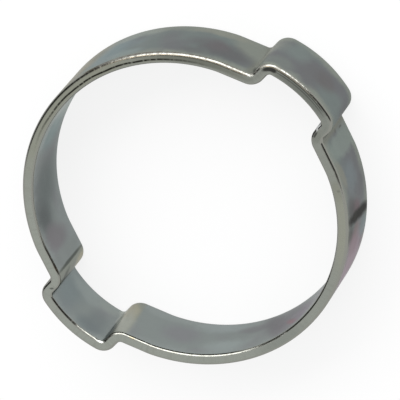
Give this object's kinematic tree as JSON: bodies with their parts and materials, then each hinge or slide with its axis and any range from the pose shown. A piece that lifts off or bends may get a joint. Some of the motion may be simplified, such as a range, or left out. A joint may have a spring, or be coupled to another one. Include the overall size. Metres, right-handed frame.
{
  "type": "ear hose clamp",
  "caption": "Closed flat steel band for holding a hose on a pipe stub, with opposite raised ears that are pinched to tighten it. Shown open.",
  "frame": {"origin": "centre of the ring, on the plane of the rim that the clamp lies on", "axes": "+Z along the ring's axis, away from the rim it lies on; +X through the middle of one ear, so the ears are at +X and -X"},
  "size_m": [0.053, 0.0462, 0.01],
  "materials": {
    "zinc_plate": "satin"
  },
  "bodies": {
    "root": {"clamp_band": "zinc_plate"}
  },
  "joints": []
}
